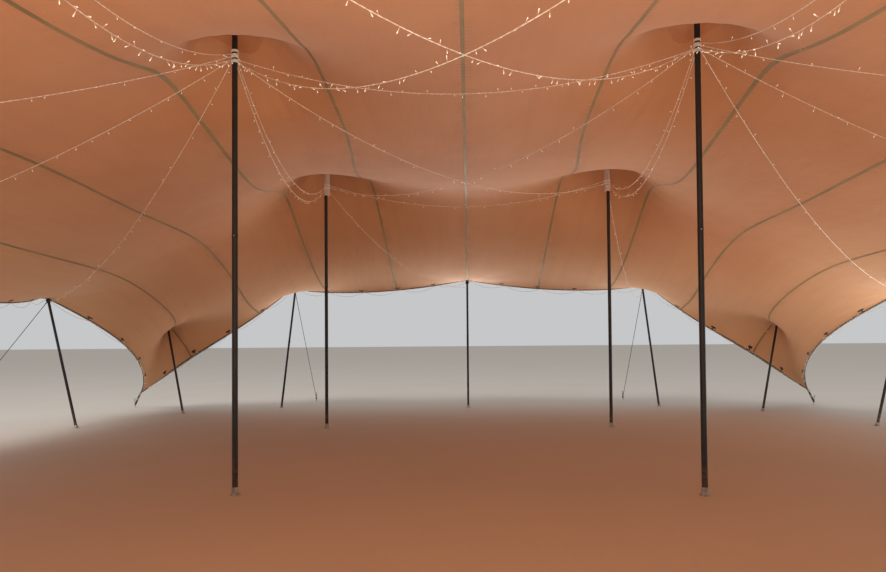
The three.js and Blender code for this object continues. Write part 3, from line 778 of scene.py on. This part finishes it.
# The tab's two ends are drawn in a little, which rounds its corners.
tab_across, tab_in = np.linspace(-TAB_HALF, TAB_HALF, 5), np.linspace(TAB_NEAR, TAB_FAR, 3)
wide, deep = np.meshgrid(tab_across, tab_in, indexing="ij")
tab_middle = (TAB_NEAR + TAB_FAR) / 2
deep = tab_middle + (deep - tab_middle) * (1 - TAB_ROUNDING * (abs(wide) / TAB_HALF) ** 4)
strap_across, strap_in = np.linspace(-STRAP_HALF, STRAP_HALF, 2), np.linspace(STRAP_NEAR, STRAP_FAR, 7)
strap_wide, strap_deep = np.meshgrid(strap_across, strap_in)
inside = np.linspace(0, HEM_BAND, 3)[None]
hem_shapes, tab_shapes, tab_places = [], [], {}
for edge, (edge_columns, edge_rows, (in_column, in_row)) in EDGES.items():
    band_columns = edge_columns[:, None] + in_column * inside / COLUMN_STEP
    band_rows = edge_rows[:, None] + in_row * inside / ROW_STEP
    hem_shapes.append(layer(band_columns, band_rows, *HEM_FACES))
    hem_shapes.append(layer(band_columns, band_rows, -HEM_FACES[1], -HEM_FACES[0]))
    line, line_up = on_cloth(edge_columns, edge_rows)
    hem_shapes.append(tube(line, HEM_ROPE, 8, line_up))
    far = length_along(line)
    at = edge_columns if in_column == 0 else edge_rows
    stations = END_STATIONS if in_column == 0 else SIDE_STATIONS
    tab_at = []
    for first, last in zip(stations[:-1], stations[1:]):
        low, high = np.interp([first, last], at, far)
        count = round((high - low) / TAB_SPACING)
        tab_at.append(low + (high - low) * np.arange(count) / count)
    tab_at = np.concatenate(tab_at)[1:]
    tab_places[edge] = tab_at
    for place in np.interp(tab_at, far, at):
        column, row = (place, edge_rows[0]) if in_column == 0 else (edge_columns[0], place)
        for beside, inwards, faces in ((wide, deep, TAB_FACES), (strap_wide, strap_deep, STRAP_FACES)):
            tab_columns = column + (beside if in_column == 0 else in_column * inwards) / COLUMN_STEP
            tab_rows = row + (beside if in_row == 0 else in_row * inwards) / ROW_STEP
            tab_shapes.append(layer(tab_columns, tab_rows, *faces))
hem = make_piece("hem_webbing", hem_shapes, webbing.finish)
tabs = make_piece("hem_tabs", tab_shapes, webbing.finish)


# Hem lights
# One lead of lamps is clipped tight along each hem, and another hangs in short loops from tab to tab below
# it. For each: how far inside the hem and below it the lead lies, its loops' depth and its lamps' distance.
HEM_LEADS = {"tight": (0.02, 0.013, 0.0, 0.16), "looped": (0.05, 0.016, 0.1, 0.2)}
LAMP_SIZE = 0.8
CORNER_POINTS = 6


def hem_path(edge, inwards, drop, swing):
    """Points along a hem, a little inside it and below it, with an extra drop of
    4 * swing * share * (1 - share) between one tab and the next. The points in its corners are left out."""
    edge_columns, edge_rows, (in_column, in_row) = EDGES[edge]
    line, line_up = on_cloth(edge_columns + in_column * inwards / COLUMN_STEP,
                             edge_rows + in_row * inwards / ROW_STEP)
    far = length_along(line)
    number = np.interp(far, tab_places[edge], np.arange(len(tab_places[edge])))
    share = number - np.floor(number)
    lower = 4 * swing * share * (1 - share)
    return (line - drop * line_up - lower[:, None] * UP)[CORNER_POINTS:-CORNER_POINTS]


for edge in EDGES:
    for kind, (inwards, drop, swing, spacing) in HEM_LEADS.items():
        lit_lead(f"hem_string_{edge}_{kind}", hem_path(edge, inwards, drop, swing), 4, spacing, LAMP_SIZE)


# King poles
# Black-coated steel tubes in two lengths, joined by a swaged collar with a spring button. Each stands on a
# bolted foot with a bare galvanised socket, and carries a rubber mushroom that spreads the cloth.
STEEL, ZINC, RUBBER, SLEEVE = range(4)
TURNED_LAID = 0.3
KING_JOINT = 0.55
KING_PLACES = [("middle", KING_MIDDLE, 0), ("front", KING_OUTER, -1), ("rear", KING_OUTER, 1)]
# Radii and heights. Those of the collar are counted from the joint, and those of the neck, the head and the
# sleeve from the king's top.
KING_FOOT = [
    (0.058, 0), (0.058, 0.009), (0.0565, 0.0105), (0.041, 0.0115), (0.0385, 0.015), (0.038, 0.078),
    (0.0395, 0.08), (0.0395, 0.086), (0.036, 0.089),
]
KING_COLLAR = [(KING_RADIUS, -0.05), (0.0337, -0.048), (0.0337, 0), (0.0316, 0.003)]
KING_NECK = [(0.0316, -0.095), (0.036, -0.09), (0.036, -0.062)]
KING_HEAD = [
    (0.034, -0.085), (0.05, -0.07), (0.088, -0.056), (0.103, -0.044), (0.1065, -0.026), (0.104, -0.012),
    (0.096, -0.0058), (0.06, -0.0038), (0.01, -0.0025),
]
KING_SLEEVE = [
    (0.034, -0.577), (0.054, -0.58), (SLEEVE_RADIUS, -0.576), (SLEEVE_RADIUS, -0.2), (0.0564, -0.06),
    (0.0545, -0.052), (0.034, -0.05),
]
BUTTON = [(0.007, 0.031), (0.007, 0.0375), (0.004, 0.039)]
BOLT = [(0.0065, 0), (0.0065, 0.0035), (0.0055, 0.0045)]
coated = Recipe("black_coated_steel", Roughness=0.42, Specular_IOR_Level=0.5)
coated_place = coated.place()
scuff = coated.noise(coated.stretched(coated_place, (14.0, 14.0, 1.6)), 2.0, 5.0, 0.6)
height = coated.axis(coated_place, 2)
splashed = (1 - height.between(0.05, 0.55)) * coated.noise(coated_place, 18.0, 4.0).between(0.3, 0.7)
tone = coated.mix(scuff.between(0.6, 0.8), (24, 26, 25), (52, 54, 52))
coated.shade(Base_Color=coated.mix(splashed * 0.6, tone, (120, 98, 80)), Roughness=0.36 + 0.3 * scuff)
coated.bump(coated.noise(coated_place, 260.0, 2.0), 0.0003)

galvanised = Recipe("galvanised_steel", Metallic=0.75, Specular_IOR_Level=0.5)
zinc_place = galvanised.place()
spangle = galvanised.node("ShaderNodeTexVoronoi", {"feature": "F1"}, {"Vector": zinc_place, "Scale": 130.0})
stain = galvanised.noise(zinc_place, 22.0, 4.0).between(0.3, 0.8)
galvanised.shade(Base_Color=galvanised.mix(stain, (196, 198, 196), (142, 138, 132)),
                 Roughness=0.34 + 0.3 * spangle)
galvanised.bump(spangle, 0.0002)

rubber = Recipe("black_rubber", Roughness=0.85)
rubber_wear = rubber.noise(rubber.place(), 30.0, 4.0)
rubber.shade(Base_Color=rubber.mix(rubber_wear, (26, 26, 27), (52, 50, 48)))
rubber.bump(rubber_wear, 0.0006)

sleeve_finish = Recipe("pale_painted_sleeve", Roughness=0.55)
sleeve_place = sleeve_finish.place()
brushed = sleeve_finish.noise(sleeve_finish.stretched(sleeve_place, (30.0, 30.0, 2.0)), 2.0, 4.0)
painted = sleeve_finish.mix(brushed.between(0.3, 0.8), (226, 204, 190), (196, 170, 154))
sleeve_finish.shade(Base_Color=painted)
sleeve_finish.bump(brushed, 0.0008)


def turned(profile, foot, axis, sides, finish=STEEL):
    """A lathe shape: each radius and height of the profile becomes a circle round the axis at that height."""
    axis = unit(np.array(axis, float))
    aside = unit(np.cross(axis, (0, 1, 0) if abs(axis[1]) < 0.9 else (1, 0, 0)))
    up = np.cross(axis, aside)
    angle = np.linspace(0, 2 * np.pi, sides, endpoint=False)
    circle = np.cos(angle)[:, None] * aside + np.sin(angle)[:, None] * up
    profile = np.array(profile, float)
    points = np.array(foot, float) + profile[:, 1, None, None] * axis + profile[:, :1, None] * circle
    return grid(points, profile[:, 1], np.linspace(0, TURNED_LAID, sides + 1), finish)


def raised(profile, height):
    """The same profile, that much higher."""
    return [(radius, height + at) for radius, at in profile]


def bolts(centre, spread, count):
    """Hexagon bolt heads in a ring on a foot plate."""
    angle = np.pi / 4 + np.arange(count) * 2 * np.pi / count
    places = np.array(centre) + spread * np.stack([np.cos(angle), np.sin(angle), 0 * angle], axis=1)
    return [turned(BOLT, place, UP, 6, ZINC) for place in places]


for flank, side in FLANKS:
    for place_name, king, end in KING_PLACES:
        foot = np.array([side * king[0], end * king[1], 0])
        top = king[2]
        joint = KING_JOINT * top
        tube_profile = [(KING_RADIUS, 0.06)] + raised(KING_COLLAR, joint) + raised(KING_NECK, top)
        shapes = [turned(tube_profile, foot, UP, 32), turned(KING_FOOT, foot, UP, 32, ZINC),
                  turned(raised(KING_HEAD, top), foot, UP, 32, RUBBER),
                  turned(BUTTON, foot + (0, 0, joint - 0.024), (0, -1, 0), 12, ZINC)]
        shapes += bolts(foot + (0, 0, 0.0105), 0.049, 4)
        if end:
            sleeve_foot = foot - (side * SLEEVE_OFFSET, 0, 0)
            shapes.append(turned(raised(KING_SLEEVE, top), sleeve_foot, UP, 32, SLEEVE))
        pole = make_piece(f"king_{place_name}_{flank}_tube", shapes, coated.finish, galvanised.finish,
                          rubber.finish, sleeve_finish.finish)
        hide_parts(f"king_pole_{place_name}_{flank}")


# Edge and corner poles
# Lighter black tubes that lean. Each has a round foot plate with a domed socket, a swaged joint, a neck ring
# that keeps the guy in place, and a rubber ball that the cloth rests on.
CORNER_FOOT = np.array([6.9, 8.9, 0])
HEM_INSET = 0.7
BALL = 0.045
BALL_GAP = 0.0045
EDGE_JOINT = 0.58
EDGE_COLLAR = [(EDGE_RADIUS, -0.04), (0.028, -0.038), (0.028, 0), (0.0255, 0.003)]
EDGE_NECK = [
    (0.0255, -0.13), (0.0295, -0.128), (0.0295, -0.12), (0.0255, -0.118), (0.0255, -0.05), (0.03, -0.045),
    (0.03, -0.02),
]
EDGE_FOOT = [
    (0.06, 0), (0.06, 0.007), (0.0585, 0.0085), (0.038, 0.01), (0.0345, 0.014), (0.034, 0.046),
    (0.032, 0.055), (0.026, 0.062), (0.01, 0.066),
]


def leaning_pole(name, foot, column, row):
    """Makes one leaning pole, and returns its top under the cloth and the direction up to it."""
    top, up = on_cloth(column, row)
    axis = unit(top - foot)
    ball = top - up * (BALL + CLOTH / 2 + BALL_GAP)
    long = np.linalg.norm(ball - foot)
    lean = unit(ball - foot)
    collar = raised(EDGE_COLLAR, EDGE_JOINT * long)
    tube_profile = [(EDGE_RADIUS, 0.04)] + collar + raised(EDGE_NECK, long)
    curve = np.linspace(-1.2, 1.5, 12)
    ball_profile = np.stack([BALL * np.cos(curve), BALL * np.sin(curve)], axis=1)
    shapes = [turned(tube_profile, foot, lean, 24), turned(EDGE_FOOT, foot, UP, 28, ZINC),
              turned(ball_profile, ball, up, 24, RUBBER)]
    shapes += bolts(foot + (0, 0, 0.0085), 0.05, 3)
    pole = make_piece(f"{name}_tube", shapes, coated.finish, galvanised.finish, rubber.finish)
    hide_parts(name)
    return top, axis


# Guys
# Three-strand black rope from two turns round each edge pole's neck down to a steel stake, where it is wound
# round three times. Both its ends are whipped with thin cord.
ROPE_RADIUS = 0.007
ROPE_PITCH = 0.1
WHIPPING = 0.0022
GUY_RUN = 0.78
NECK = 0.075
STAKE_RADIUS, STAKE_HEIGHT = 0.014, 0.23
STAKE_LEAN = 0.35
STAKE_HEAD = [
    (STAKE_RADIUS, -0.02), (STAKE_RADIUS + 0.002, -0.016), (STAKE_RADIUS + 0.006, -0.01),
    (STAKE_RADIUS + 0.007, -0.004), (STAKE_RADIUS + 0.004, 0), (0.006, 0.002),
]
TIE_HEIGHT = 0.07
guy_rope = Recipe("black_guy_rope", Roughness=0.8, Specular_IOR_Level=0.3)
rope_laid = guy_rope.laid()
fibres = (guy_rope.axis(rope_laid, 0) * 1500.0 + guy_rope.axis(rope_laid, 1) * 700.0).sine()
faded = guy_rope.noise(guy_rope.place(), 7.0, 3.0)
guy_rope.shade(Base_Color=guy_rope.mix(faded.between(0.3, 0.8), (38, 40, 42), (78, 76, 72)))
guy_rope.bump(fibres, 0.0006)


def wound_on(start, axis, radius, turns, wire, steps=12):
    """Turns of rope round an axis, each a little over one rope's width further along it."""
    axis = unit(np.array(axis, float))
    aside = unit(np.cross(axis, (0, 0, 1) if abs(axis[2]) < 0.9 else (1, 0, 0)))
    up = np.cross(axis, aside)
    turn = np.linspace(0, 2 * np.pi * turns, steps * turns + 1)[:, None]
    out = (radius + wire) * (np.cos(turn) * aside + np.sin(turn) * up)
    return tube(start + out + turn / np.pi * wire * 1.03 * axis, wire, 6, axis)


def stake(at, outward):
    """A driven steel stake: a round bar with a flattened head and a welded hook, down to the ground."""
    lean = STAKE_LEAN * outward + UP
    long = STAKE_HEIGHT * np.linalg.norm(lean)
    bar_profile = [(STAKE_RADIUS, -0.01)] + raised(STAKE_HEAD, long)
    points, faces, finish = turned(bar_profile, at, lean, 14, ZINC)
    points[:, 2] = np.maximum(points[:, 2], 0)
    curl = np.linspace(-0.4, np.pi, 9)[:, None]
    start = at + unit(lean) * 0.115 + outward * (STAKE_RADIUS + 0.012)
    hook = start + 0.016 * (np.cos(curl) * outward + np.sin(curl) * UP)
    return [(points, faces, finish), tube(hook, 0.005, 8, np.cross(outward, UP), ZINC)]


def staked(high, outward, run):
    """Where the stake of a line from a high place stands, where the line is tied to it, and how it leans. The
    line runs out by its height times run."""
    foothold = (high + outward * run * high[2]) * (1, 1, 0)
    tie = foothold + outward * STAKE_LEAN * TIE_HEIGHT + np.array([0, 0, TIE_HEIGHT])
    return foothold, tie, STAKE_LEAN * outward + UP


def guy(name, top, axis, outward):
    """Makes the neck ring, rope and stake of one edge pole."""
    neck = top - NECK * axis
    foothold, tie, lean = staked(top, outward, GUY_RUN)
    start = neck + unit((tie - neck) * (1, 1, 0)) * (EDGE_RADIUS + 2 * ROPE_RADIUS)
    way = unit(tie - start)
    path = np.linspace(start, tie - way * 0.012, 9)
    shapes = twisted(path, ROPE_RADIUS, 3, ROPE_PITCH, 5)
    shapes.append(wound_on(neck - 0.012 * axis, axis, EDGE_RADIUS + 0.0006, 2, ROPE_RADIUS * 0.9, 20))
    shapes.append(wound_on(start + way * 0.03, way, ROPE_RADIUS * 0.9, 6, WHIPPING))
    shapes.append(wound_on(tie - way * 0.13, way, ROPE_RADIUS * 0.9, 7, WHIPPING))
    shapes.append(wound_on(tie - unit(lean) * 0.016, lean, STAKE_RADIUS, 3, ROPE_RADIUS * 0.8))
    piece = make_piece(f"{name}_rope", shapes + stake(foothold, outward), guy_rope.finish, galvanised.finish)
    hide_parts(name)


# Corner straps
# At each corner the gathered cloth is gripped in a two-part steel clamp. Webbing with a ratchet pulls it down
# to a stake.
STRAP_RUN = 0.9
RATCHET_AT = 0.2
CLAMP = [
    (0.012, -0.03), (0.026, -0.024), (0.03, -0.016), (0.03, 0.03), (0.027, 0.034), (0.027, 0.044),
    (0.03, 0.048), (0.03, 0.062), (0.024, 0.07),
]


def swept(path, outline, scale=1.0, finish=0):
    """An outline of aside and up offsets carried along a path, with its size multiplied at each point."""
    aside, up = frames_along(path, UP)
    outline, scale = np.array(outline), np.broadcast_to(scale, len(path))[:, None, None]
    offsets = outline[None, :, :1] * aside[:, None] + outline[None, :, 1:] * up[:, None]
    return grid(path[:, None] + scale * offsets, length_along(path), finish=finish)


def rounded_box(width, thick, corner):
    """The outline of a bar with its four corners cut off."""
    w, t = width / 2, thick / 2
    half = [(w, -t + corner), (w, t - corner), (w - corner, t), (-w + corner, t)]
    return half + [(-x, -y) for x, y in half]


def corner_strap(name, side, end):
    """Makes the clamp, webbing, ratchet and stake of one corner."""
    tip = CORNER_TIP * (side, end, 1)
    outward = unit(np.array([side, end, 0.0]))
    foothold, tie, lean = staked(tip, outward, STRAP_RUN)
    way = unit(tie - tip)
    face = tip + way * 0.003
    aside = np.cross(way, UP)
    up = np.cross(aside, way)
    shapes = [turned(CLAMP, face, way, 18, ZINC)]
    path = np.linspace(face + way * 0.05, tie, 12)
    shapes.append(swept(path, rounded_box(0.048, 0.0035, 0.0012)))
    middle = face + way * RATCHET_AT
    for stretch, lift, outline in (
        ([0, 0.006, 0.084, 0.09], 0.004, rounded_box(0.058, 0.026, 0.006)),
        ([0.03, 0.034, 0.118, 0.122], 0.024, rounded_box(0.046, 0.009, 0.003)),
    ):
        line = middle + np.array(stretch)[:, None] * way + up * lift
        shapes.append(swept(line, outline, (0.8, 1, 1, 0.8), ZINC))
    axle = np.array([-0.034, -0.032, 0.032, 0.034])[:, None] * aside + middle + way * 0.05
    shapes.append(tube(axle + up * 0.012, 0.006, 10, way, ZINC))
    shapes.append(wound_on(tie - unit(lean) * 0.012, lean, STAKE_RADIUS, 2, 0.005))
    shapes += stake(foothold, outward)
    piece = make_piece(f"{name}_webbing", shapes, webbing.finish, galvanised.finish)
    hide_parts(name)


def guyed_pole(kind, place, foot, column, row, outward):
    """Makes an edge pole with its guy."""
    top, axis = leaning_pole(f"{kind}_pole_{place}", foot, column, row)
    guy(f"guy_{place}", top, axis, np.array(outward, float))


for end_name, end in ENDS:
    hem_row, out = end * (ROWS - HEM_INSET), (0, end, 0)
    guyed_pole("end", f"{end_name}_middle", END_MIDDLE_FOOT * (1, end, 1), 0, hem_row, out)
    for flank, side in FLANKS:
        place, mirror = f"{end_name}_{flank}", (side, end, 1)
        guyed_pole("end", place, END_OUTER_FOOT * mirror, side * END_COLUMN, hem_row, out)
        leaning_pole(f"corner_pole_{place}", CORNER_FOOT * mirror, side * CORNER_COLUMN, end * CORNER_ROW)
        corner_strap(f"corner_strap_{place}", side, end)
for flank, side in FLANKS:
    hem_column, out = side * (COLUMNS - HEM_INSET), (side, 0, 0)
    guyed_pole("side", f"{flank}_middle", SIDE_MIDDLE_FOOT * (side, 1, 1), hem_column, 0, out)
    for end_name, end in ENDS:
        foot = SIDE_OUTER_FOOT * (side, end, 1)
        guyed_pole("side", f"{flank}_{end_name}", foot, hem_column, end * SIDE_ROW, out)


# Floor and light
# A plain pale floor, soft light from the sky, and soft lights low on the ground, inside and outside the
# openings, because daylight comes in under the canopy from the ground around it.
FLOOR_HALF = 250
floor_finish = Recipe("pale_floor", Roughness=0.9)
dusting = floor_finish.noise(floor_finish.place(), 0.4)
floor_finish.shade(Base_Color=floor_finish.mix(dusting, (200, 189, 177), (208, 197, 185)))
mesh = bpy.data.meshes.new("floor")
corners = [(-1, -1, 0), (1, -1, 0), (1, 1, 0), (-1, 1, 0)]
mesh.from_pydata([(x * FLOOR_HALF, y * FLOOR_HALF, z) for x, y, z in corners], [], [(0, 1, 2, 3)])
mesh.materials.append(floor_finish.finish)
floor = bpy.data.objects.new("floor", mesh)
bpy.context.scene.collection.objects.link(floor)

sky = bpy.data.worlds.new("soft_sky")
sky.use_nodes = True
sky.node_tree.nodes["Background"].inputs["Color"].default_value = (0.9, 0.92, 0.94, 1)
sky.node_tree.nodes["Background"].inputs["Strength"].default_value = 0.62
bpy.context.scene.world = sky


def soft_light(name, place, target, size, power, tint=(1, 1, 1)):
    """A large soft light that the camera doesn't see."""
    light = bpy.data.lights.new(name, "AREA")
    light.shape = "RECTANGLE"
    light.size, light.size_y = size
    light.energy = power
    light.color = tint
    lamp = bpy.data.objects.new(name, light)
    lamp.location = place
    way = Vector(target) - Vector(place)
    lamp.rotation_euler = way.to_track_quat("-Z", "Y").to_euler()
    lamp.visible_camera = False
    bpy.context.scene.collection.objects.link(lamp)


soft_light("overhead", (-12, -17, 24), (0, 0, 3), (16, 16), 6400)
for light_name, x, y, width, depth, power in (
    ("behind", 0, 16.5, 6, 6, 1650), ("right", 14, 4.5, 5, 6, 1120), ("rear_right", 14, 10.5, 5, 5, 450),
    ("under_front", 0, -8.5, 6, 5, 560), ("under_right", 6.5, 4.5, 5, 6, 60),
    ("under_side", 6.5, -2, 5, 6, 35),
):
    soft_light(f"ground_{light_name}", (x, y, 0.04), (x, y, 5), (width, depth), power, (1, 0.95, 0.9))
bpy.context.scene.view_settings.view_transform = "Standard"
